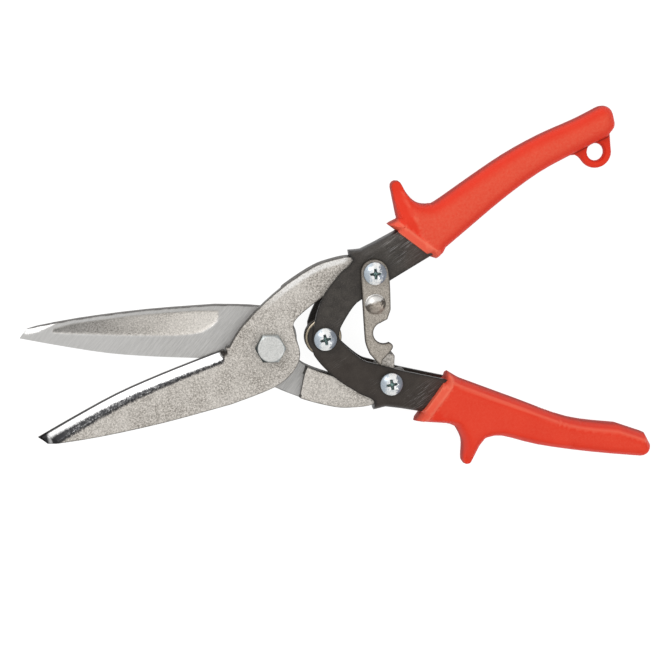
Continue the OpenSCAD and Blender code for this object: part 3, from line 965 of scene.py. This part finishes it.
def grip(name, node, material, body, flipped, look):
    """A moulded sleeve: padded body, horn, collar round the mouth and, on one of them, a hanging loop."""
    way = -1 if flipped else 1
    pitch = 1.3
    half = (high(node)[2] - low(node)[2]) / 2

    def cut(z):
        return [loop * (1, way) for loop in slice_node(node, SHEAR_Z + way * z)]

    padded = cut(half - 0.7)[:1]
    whole = cut(0)
    a, b = closed_segments(padded)
    bare = (distance((a + b) / 2, closed_segments(whole)) > 0.5) & ~inside((a + b) / 2, whole)
    mouth_a, mouth_b = a[bare][0], b[bare][-1]
    if np.linalg.norm(b[bare][0] - a[bare][-1]) > 25:
        mouth_a, mouth_b = a[bare][-1], b[bare][0]
    mouth = (a[bare], b[bare])
    sides = (a[~bare], b[~bare])
    centre = padded[0].mean(0)
    far = padded[0][np.argmax(np.linalg.norm(padded[0] - (mouth_a + mouth_b) / 2, axis=1))]
    axis = (far - (mouth_a + mouth_b) / 2)
    axis /= np.linalg.norm(axis)
    outer = whole[0]
    lone = outer[(outer[:, 0] < centre[0]) & ~inside(outer, padded)]
    horn_tip = lone[np.argmax(distance(lone, closed_segments(padded)))]
    near, away = sorted((mouth_a, mouth_b), key=lambda p: np.linalg.norm(p - horn_tip))
    crease_end = near + look["crease_end"] * (away - near)
    crease_from = horn_tip + look["crease_from"] * axis + look["crease_drop"] * (near - horn_tip)
    crease_len = np.linalg.norm(crease_end - crease_from)
    crease_way = (crease_end - crease_from) / crease_len
    right = 1 if side_of(centre[None], crease_from, crease_end)[0] > 0 else -1
    across = right * np.array([-crease_way[1], crease_way[0]])
    horn_half = look["horn"]
    loop_half = 2.5
    wa, wb = closed_segments(whole)
    proud = ~inside((wa + wb) / 2, padded) | (distance((wa + wb) / 2, (a, b)) < 0.03)
    bare_side = ~bare & (~inside((a + b) / 2, whole) | (distance((a + b) / 2, (wa, wb)) < 0.03))
    silhouette = (np.concatenate([wa[proud], a[bare_side]]), np.concatenate([wb[proud], b[bare_side]]))

    def skin_gap(p):
        """Distance in from the sleeve's sides, not counting its mouth; less than nothing on the loop."""
        own = distance(p, sides) * np.where(inside(p, padded), 1, -1)
        return np.where(p[:, 0] < centre[0], distance(p, silhouette), own)

    def height(p, d, is_top):
        gap = skin_gap(p)
        soft, width, power, crown = look["top" if is_top else "bottom"]
        full = pillow(gap, soft, width, power) + crown * (1 - (1 - np.clip(gap / 12, 0, 1)) ** 2)
        from_mouth = distance(p, mouth)
        t = np.clip(((p - crease_from) @ crease_way) / crease_len, 0, 1)
        s = right * side_of(p, crease_from + look["crease_shift"] * across, crease_end)
        plane = horn_half + (look["flank"] - horn_half) * np.clip(t / look["rise"], 0, 1) ** 0.8
        ramp = plane + np.clip(s, 0, None) * (look["ramp"] + 1.1 * (1 - t))
        full = lower_of(full, ramp, 0.25)
        beyond = (far - p) @ axis
        full = full - look["end_slope"] * np.clip(look["end_reach"] - beyond, 0, None)
        collar = 1 - smooth_step(from_mouth, 3.3, 3.75)
        full = full + collar * look["collar"] - round_off(from_mouth, 0.9)
        thin = np.where(p[:, 0] > centre[0], pillow(d, loop_half, 1.2, 2.0), 0)
        together = higher_of(full, thin, 0.5)
        return np.clip(0.35 + together, 0.35, half)

    def top(p, d):
        return SHEAR_Z + height(p, d, True)

    def bottom(p, d):
        return SHEAR_Z - height(p, d, False)

    # Painted highlights: a lighter collar, thin lines at the mouth and the collar's edge, a strip along the waist side
    # and a line on the crease.
    def light(p, d, is_top):
        from_mouth = distance(p, mouth)
        collar = 1 - smooth_step(from_mouth, 3.4, 3.9)
        lines = 1 - smooth_step(np.minimum(from_mouth, np.abs(from_mouth - 3.45)), 0.25, 0.6)
        strip = look["strip"] * (1 - smooth_step(np.abs(distance(p, waist_side) - 2.4), 0.3, 0.9))
        crease = 1 - smooth_step(distance(p, crease_line), 0.2, 0.7)
        return np.clip(0.55 * collar + 0.6 * lines + strip + look["crease"] * crease, 0, 1)

    def pale(p, d, is_top):
        """Painted highlight: the sleeve's middle, but not the flank between crease and mouth."""
        beyond_crease = smooth_step(right * side_of(p, crease_from, crease_end), -0.3, 0.3)
        return look["pale"] * beyond_crease * smooth_step(skin_gap(p), 1.5, 5.5)

    def rim(p, d, is_top):
        return dark_rim(np.abs(skin_gap(p)), 0.55)

    crease_line = path_segments(evenly(np.array([crease_from, crease_end]), 1.0))

    # The side that faces the other handle
    mids = (sides[0] + sides[1]) / 2
    facing_in = (mids[:, 1] < np.interp(mids[:, 0], [mouth_a[0], far[0]], [centre[1] - 16, far[1] - 5]))
    waist_side = (sides[0][facing_in], sides[1][facing_in])
    mouth_line = np.array([mouth_a, mouth_b])
    mouth_way = (mouth_b - mouth_a) / np.linalg.norm(mouth_b - mouth_a)
    mouth_in = np.array([-mouth_way[1], mouth_way[0]])
    if (centre - mouth_a) @ mouth_in < 0:
        mouth_in = -mouth_in
    rows = [evenly(mouth_line + depth * mouth_in, 0.7) for depth in (0.12, 0.35, 0.7, 1.1, 3.25, 3.55, 3.85)]
    obj = relief(name, [padded, whole], top, bottom, pitch, rings=(0.12, 0.35, 0.75, 1.4, 2.3), extra=rows,
                 marks={"light": light, "pale": pale, "rim": rim}, flipped=flipped, sharp=42)
    return finish_piece(obj, material, body, "grip_vinyl", node)


# ---- screws and posts ----

def screw(node, material, body, turn):
    """Pan-head screw with a tapered cross recess."""
    at = middle(node)[:2]
    peak, foot = high(node)[2], low(node)[2]
    head_r = (high(node)[0] - low(node)[0]) / 2
    head_h, crown, shank_r = 3.4, 1.8, 2.4
    base = peak - head_h
    dome = (head_r ** 2 + crown ** 2) / 2 / crown
    angle = math.radians(turn)

    def recess(x, y):
        depth = np.zeros(len(x))
        for extra in (0, math.pi / 2):
            u = np.abs(x * math.cos(angle + extra) + y * math.sin(angle + extra))
            v = np.abs(-x * math.sin(angle + extra) + y * math.cos(angle + extra))
            wide = 0.72 - 0.10 * u
            depth = np.maximum(depth, np.minimum((wide - v) * 3.0, (2.35 - u) * 1.8))
        hub = (1.1 - np.hypot(x, y)) * 2.2
        return np.clip(np.maximum(depth, hub), 0, 1.3)

    def top(p, d):
        x, y = p[:, 0] - at[0], p[:, 1] - at[1]
        r = np.minimum(np.hypot(x, y), head_r)
        cap = peak - dome + np.sqrt(dome ** 2 - r ** 2)
        return cap - recess(x, y) - round_off(d, 0.25)

    def bottom(p, d):
        r = np.hypot(p[:, 0] - at[0], p[:, 1] - at[1])
        return np.where(r < shank_r + 0.01, foot, base + 0.02)

    rows = [circle(shank_r, 48, at), circle(shank_r + 0.05, 48, at)]
    def sunk(p, d, is_top):
        return recess(p[:, 0] - at[0], p[:, 1] - at[1]) * (1.0 if is_top else 0.0)

    obj = relief(node + "_head", [[circle(head_r, 96, at)]], top, bottom, 0.2, rings=(0.06, 0.15, 0.27), extra=rows,
                 marks={"sunk": sunk}, sharp=45)
    return finish_piece(obj, material, body, "zinc_screw", node)


def post(node, material, body):
    """Barrel post: a flange with a rounded rim and a shallow centre dimple, and its tube."""
    at = middle(node)[:2]
    foot, peak = low(node)[2], high(node)[2]
    flange_r = (high(node)[0] - low(node)[0]) / 2
    tube_r, bore_r, flange_t = 3.5, 2.45, 1.6
    profile = [(0, foot + 0.35), (1.1, foot + 0.3), (1.5, foot), (flange_r - 0.7, foot),
               (flange_r - 0.2, foot + 0.18), (flange_r, foot + 0.6), (flange_r, foot + flange_t - 0.2),
               (flange_r - 0.2, foot + flange_t), (tube_r, foot + flange_t), (tube_r, peak), (bore_r, peak),
               (bore_r, foot + flange_t + 1), (0, foot + flange_t + 1)]
    obj = turned(node + "_barrel", at, profile)
    return finish_piece(obj, material, body, "post_steel", node)


# ---- latch ----

def latch_hook(material):
    node = "latch"
    foot, peak = low(node)[2], high(node)[2]
    outline = slice_node(node, (foot + peak) / 2)

    def top(p, d):
        return peak - round_off(d, 0.4)

    def bottom(p, d):
        return foot + round_off(d, 0.2)

    def rim(p, d, is_top):
        return dark_rim(d, 0.75)

    obj = relief("latch_hook", [outline], top, bottom, 0.55, rings=(0.07, 0.2, 0.42), marks={"rim": rim}, sharp=40)
    return finish_piece(obj, material, "latch", "latch_steel", node)


def stud(material):
    node = "latch_stud"
    at = middle(node)[:2]
    foot, peak = low(node)[2], high(node)[2]
    head_r = (high(node)[0] - low(node)[0]) / 2
    head_h, neck_r, back_t = 2.3, 2.0, 1.0
    dome = (head_r ** 2 + head_h ** 2) / 2 / head_h
    rim = peak - head_h
    back_r = neck_r + 1
    cap = []
    for share in np.linspace(0.97, 0, 12):
        r = head_r * share
        cap.append((r, peak - dome + math.sqrt(dome ** 2 - r ** 2)))
    profile = [(0, foot), (back_r - 0.3, foot), (back_r, foot + 0.3), (back_r, foot + back_t), (neck_r, foot + back_t),
               (neck_r, rim), (head_r - 0.15, rim), (head_r, rim + 0.12)] + cap
    obj = turned("latch_stud_dome", at, profile, steps=96)
    return finish_piece(obj, material, "latch", "latch_steel", node)


# ---- spring ----

def wire_mesh(name, path, radius, sides=20):
    n = len(path)
    along = np.gradient(path, axis=0)
    along /= np.linalg.norm(along, axis=1)[:, None]
    side = np.cross(along, (0, 0, 1))
    side /= np.linalg.norm(side, axis=1)[:, None]
    up = np.cross(side, along)
    turn = 2 * np.pi * np.arange(sides) / sides
    spots = [path[i] + radius * (np.cos(t) * side[i] + np.sin(t) * up[i]) for i in range(n) for t in turn]
    faces = [(i * sides + k, (i + 1) * sides + k, (i + 1) * sides + (k + 1) % sides, i * sides + (k + 1) % sides)
             for i in range(n - 1) for k in range(sides)]
    faces += [list(range(sides)), [(n - 1) * sides + k for k in range(sides - 1, -1, -1)]]
    return build(name, np.array(spots), faces, sharp=60)


def spring(material):
    """Torsion spring: two turns round the handle pivot with a leg under each handle."""
    node = "torsion_spring"
    wire_r = 1.0
    coil_r = 6.8
    centre = (low(node)[0] + wire_r + coil_r, HANDLE_PIVOT[1])
    leg_angle = 34.0
    rise = high(node)[2] - low(node)[2] - 2 * wire_r
    start, span = -90 - leg_angle, -720 - 2 * (90 - leg_angle)

    def coil(t):
        a = np.radians(start + span * t)
        return np.column_stack([centre[0] + coil_r * np.cos(a), centre[1] + coil_r * np.sin(a),
                                SHEAR_Z + (t - 0.5) * rise])

    def leg(t, angle, run):
        way = np.array([math.cos(math.radians(angle)), math.sin(math.radians(angle)), 0])
        return coil(np.array([t]))[0] + np.outer(run, way)

    wraps = coil(np.linspace(0, 1, 150))
    runs = np.linspace(1.0, 15.0, 10)
    path = np.concatenate([leg(0, -leg_angle, runs[::-1]), wraps, leg(1, leg_angle, runs)])
    obj = wire_mesh("torsion_spring_wire", path, wire_r)
    obj.data.materials.append(material)
    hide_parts(node)
    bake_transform(obj)
    return obj


# ---- small turned parts ----

def ring_part(node, name, material, body, slot, bore, soft):
    at = middle(node)[:2]
    foot, peak = low(node)[2], high(node)[2]
    rim = (high(node)[0] - low(node)[0]) / 2
    profile = [(bore, foot), (rim - soft, foot), (rim, foot + soft), (rim, peak - soft), (rim - soft, peak), (bore, peak)]
    return finish_piece(turned(name, at, profile), material, body, slot, node)


# ---- stage ----

def floor():
    s = Shader("pale_floor")
    tone = s.mix(s.remap(s.noise(0.004, 2, 0.5), 0.3, 0.7), (0.19, 0.19, 0.19), (0.21, 0.21, 0.21))
    material = s.set(Base_Color=tone, Roughness=0.9, Specular_IOR_Level=0.1, Emission_Color=(1.0, 1.0, 1.0),
                     Emission_Strength=0.92)
    mesh = bpy.data.meshes.new("floor")
    size = 4.0
    mesh.from_pydata([(-size, -size, 0), (size, -size, 0), (size, size, 0), (-size, size, 0)], [], [(0, 1, 2, 3)])
    obj = bpy.data.objects.new("floor", mesh)
    bpy.context.scene.collection.objects.link(obj)
    obj.location.z = -0.0002
    obj.data.materials.append(material)


def softbox(name, spot, target, size, power):
    data = bpy.data.lights.new(name, "AREA")
    data.shape = "SQUARE"
    data.size = size
    data.energy = power
    obj = bpy.data.objects.new(name, data)
    bpy.context.scene.collection.objects.link(obj)
    obj.location = spot
    obj.rotation_mode = "QUATERNION"
    obj.rotation_quaternion = (Vector(target) - Vector(spot)).to_track_quat("-Z", "Y")


def lighting():
    world = bpy.data.worlds.new("studio")
    bpy.context.scene.world = world
    world.use_nodes = True
    background = world.node_tree.nodes["Background"]
    tree = world.node_tree
    place = tree.nodes.new("ShaderNodeTexCoord")
    split = tree.nodes.new("ShaderNodeSeparateXYZ")
    tree.links.new(place.outputs["Generated"], split.inputs[0])
    fade = tree.nodes.new("ShaderNodeMapRange")
    tree.links.new(split.outputs["Z"], fade.inputs[0])
    for socket, number in zip(list(fade.inputs)[1:5], (0.0, 0.8, 0.42, 0.77)):
        socket.default_value = number
    background.inputs["Color"].default_value = (1, 1, 1, 1)
    tree.links.new(fade.outputs[0], background.inputs["Strength"])
    softbox("key", (-0.5, 0.7, 0.9), (0.03, 0, 0), 0.5, 4.2)
    softbox("fill", (0.7, -0.5, 0.7), (0.03, 0, 0), 0.6, 1.7)
    softbox("bevel", (-0.30, 0.90, 0.27), (-0.05, 0, 0), 0.5, 1.05)
    bpy.context.scene.view_settings.view_transform = "Standard"


def camera():
    """Looks almost straight down, rolled a little so that the snips climb to the right."""
    data = bpy.data.cameras.new("camera")
    data.lens = 104.03
    data.sensor_width = 36
    data.shift_x = 0.00196
    data.shift_y = 0.00291
    obj = bpy.data.objects.new("camera", data)
    bpy.context.scene.collection.objects.link(obj)
    target = Vector((0.025, 0.002, 0.013))
    roll = 0.160228
    right = Vector((math.cos(roll), -math.sin(roll), 0))
    up = Vector((math.sin(roll), math.cos(roll), 0))
    back = (Vector((0, 0, 1)) - 0.09554 * right + 0.14855 * up).normalized()
    up = (up - up.dot(back) * back).normalized()
    right = up.cross(back)
    turn = Matrix((right, up, back)).transposed()
    obj.matrix_world = Matrix.Translation(target + 0.78896 * back) @ turn.to_4x4()
    bpy.context.scene.camera = obj


# ---- the snips ----

def snips():
    steel = blade_steel()
    blade("front_blade_forging", "front_blade", steel, "front_blade", False)
    blade("rear_blade_forging", "rear_blade", steel, "rear_blade", True)
    dull = dull_zinc()
    hex_bolt(dull)
    hex_nut(dull)
    black = black_oxide()
    channel("upper_handle_channel", "upper_handle", black, "upper_handle", False)
    channel("lower_handle_channel", "lower_handle", black, "lower_handle", True)
    rubber = vinyl()
    upper_look = {"top": (8.2, 4.6, 2.2, 1.0), "bottom": (8.2, 4.6, 2.2, 1.0), "horn": 3.4, "flank": 8.25, "rise": 0.42,
                  "ramp": 0.28,
                  "crease_from": 4.4, "crease_drop": 0.36, "crease_end": 0.98, "crease_shift": 0.3, "crease": 0.35,
                  "pale": 0.85, "strip": 0.0, "collar": 0.7, "end_slope": 0.3,
                  "end_reach": 5.0}
    lower_look = {"top": (8.7, 3.8, 2.2, 0.2), "bottom": (8.7, 3.2, 1.5, 0.2), "horn": 4.2, "flank": 8.4, "rise": 0.9,
                  "ramp": 0.12,
                  "crease_from": 0.0, "crease_drop": 0.0, "crease_end": 0.62, "crease_shift": 2.0, "crease": 0.1,
                  "pale": 0.32, "strip": 0.6, "collar": 0.6, "end_slope": 0.1,
                  "end_reach": 4.0}
    grip("upper_grip_sleeve", "upper_grip", rubber, "upper_handle", False, upper_look)
    grip("lower_grip_sleeve", "lower_grip", rubber, "lower_handle", True, lower_look)
    bright = zinc()
    screw("handle_screw", bright, "upper_handle", 5)
    screw("upper_screw", bright, "upper_handle", -5)
    screw("lower_screw", bright, "lower_handle", 0)
    post_steel = plain_steel("post_steel", (0.38, 0.37, 0.36), (0.58, 0.57, 0.55), 0.34)
    post("handle_post", post_steel, "upper_handle")
    post("upper_post", post_steel, "upper_handle")
    post("lower_post", post_steel, "lower_handle")
    latch_hook(latch_plate())
    stud(stud_steel())
    spring(spring_wire())
    ring_part("spring_bushing", "spring_bushing_sleeve", nylon(), "upper_handle", "bushing_nylon", 3.55, 0.3)
    ring_part("latch_washer", "latch_washer_ring", bright, "upper_handle", "zinc_screw", 3.55, 0.12)


snips()
floor()
lighting()
camera()
